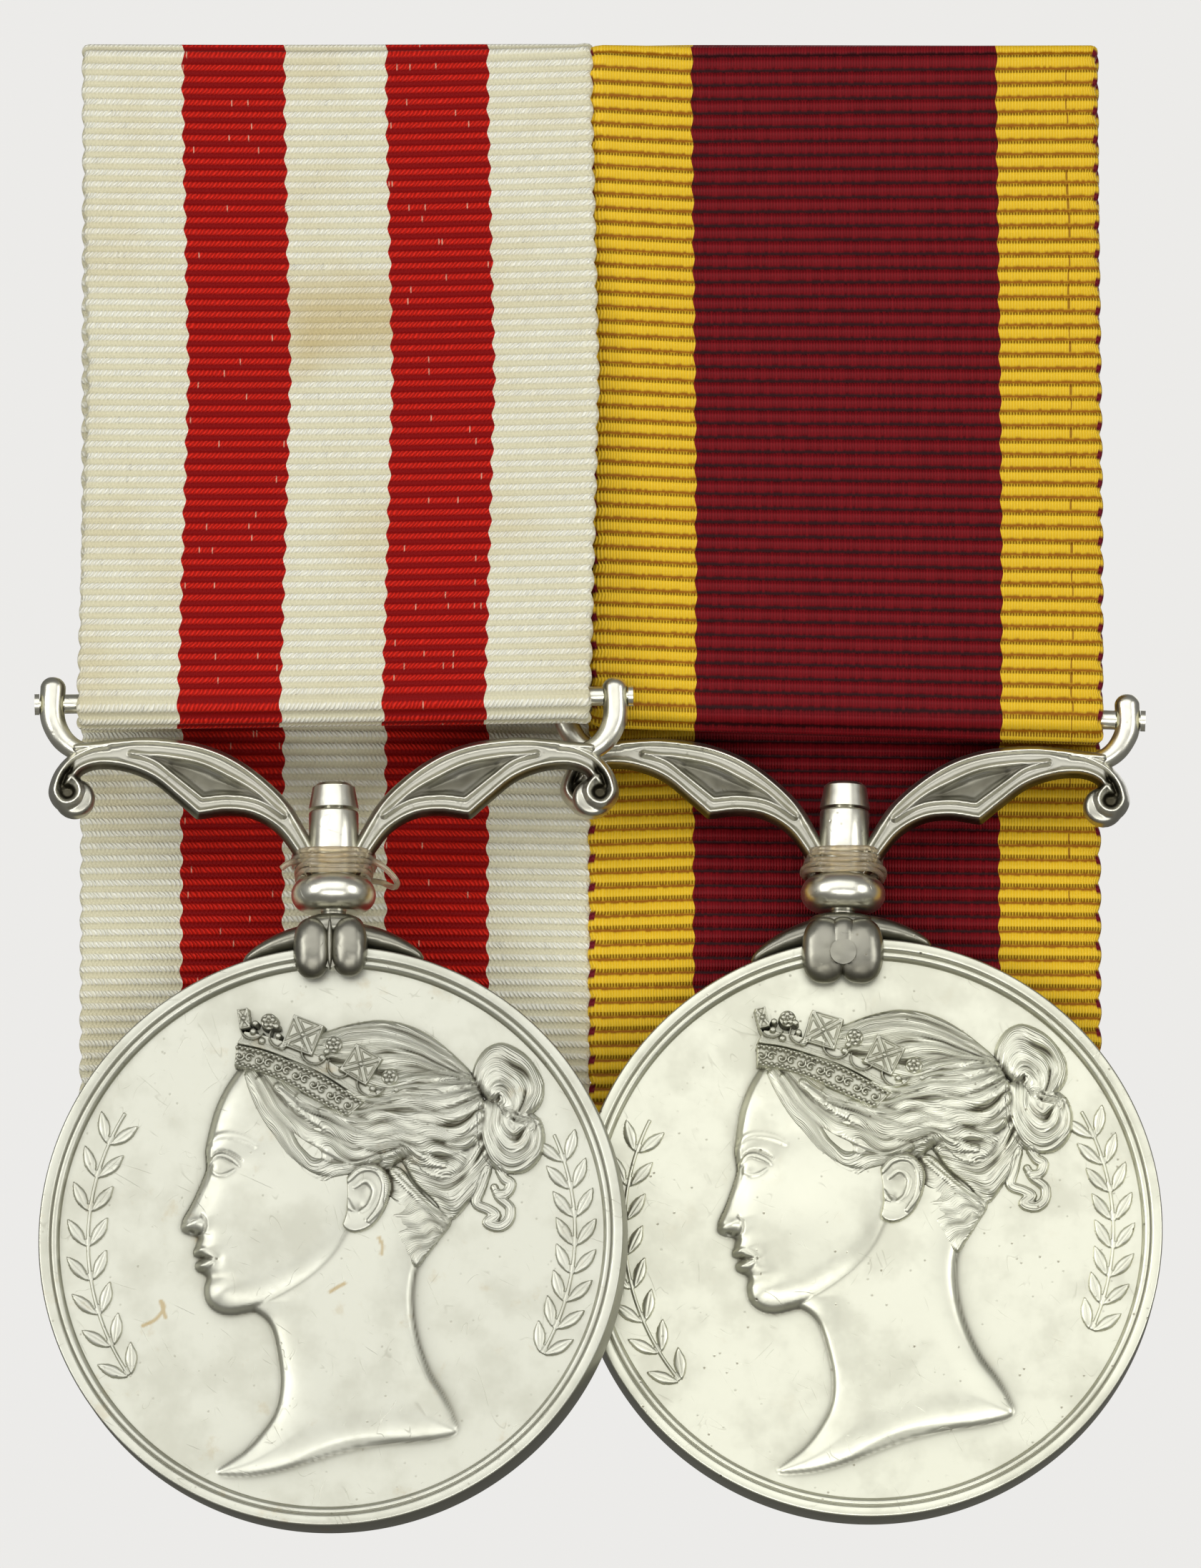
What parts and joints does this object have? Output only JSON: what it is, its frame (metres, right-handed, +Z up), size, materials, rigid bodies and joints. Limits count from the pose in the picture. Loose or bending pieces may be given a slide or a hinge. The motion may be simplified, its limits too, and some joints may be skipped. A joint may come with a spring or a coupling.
{
  "type": "mounted medal group",
  "caption": "Silver medals on scrolled swivel suspenders, hung side by side on striped ribbons from a brooch bar.",
  "frame": {"origin": "middle of the brooch pin, behind the top of the ribbons", "axes": "+Z up, +X to the viewer's right, the medals' faces towards -Y and the wearer's coat towards +Y"},
  "size_m": [0.0692, 0.0136, 0.094],
  "materials": {
    "brooch_metal": "plain satin white metal",
    "white_scarlet_ribbon": "ribbed silk, five equal stripes of white and scarlet",
    "yellow_crimson_ribbon": "ribbed silk, crimson with yellow edges",
    "suspender_silver": "polished cast silver, dark in the flutes",
    "left_disc_silver": "satin struck silver, fine scratches and tan stains",
    "right_disc_silver": "bright struck silver, fine scratches and pits",
    "claw_silver": "toned grey silver"
  },
  "bodies": {
    "ribbon_group": {"pin_bar": "brooch_metal", "left_ribbon": "white_scarlet_ribbon", "right_ribbon": "yellow_crimson_ribbon", "left_suspender": "suspender_silver", "left_ribbon_bar": "suspender_silver", "right_suspender": "suspender_silver", "right_ribbon_bar": "suspender_silver"},
    "left_medal": {"left_disc": "left_disc_silver", "left_claw": "claw_silver", "left_rivet": "claw_silver", "left_swivel_pin": "suspender_silver"},
    "right_medal": {"right_disc": "right_disc_silver", "right_claw": "claw_silver", "right_rivet": "claw_silver", "right_swivel_pin": "suspender_silver"}
  },
  "joints": [
    {"name": "left_swivel", "type": "hinge", "parent": "ribbon_group", "child": "left_medal", "pos_m": [-0.01575, -0.009, -0.05], "axis": [0, 0, 1], "range_deg": [-8, 2.5]},
    {"name": "right_swivel", "type": "hinge", "parent": "ribbon_group", "child": "right_medal", "pos_m": [0.01575, -0.006, -0.03848], "axis": [0.0209, 0, 0.9998], "range_deg": [-5.5, 1]}
  ]
}
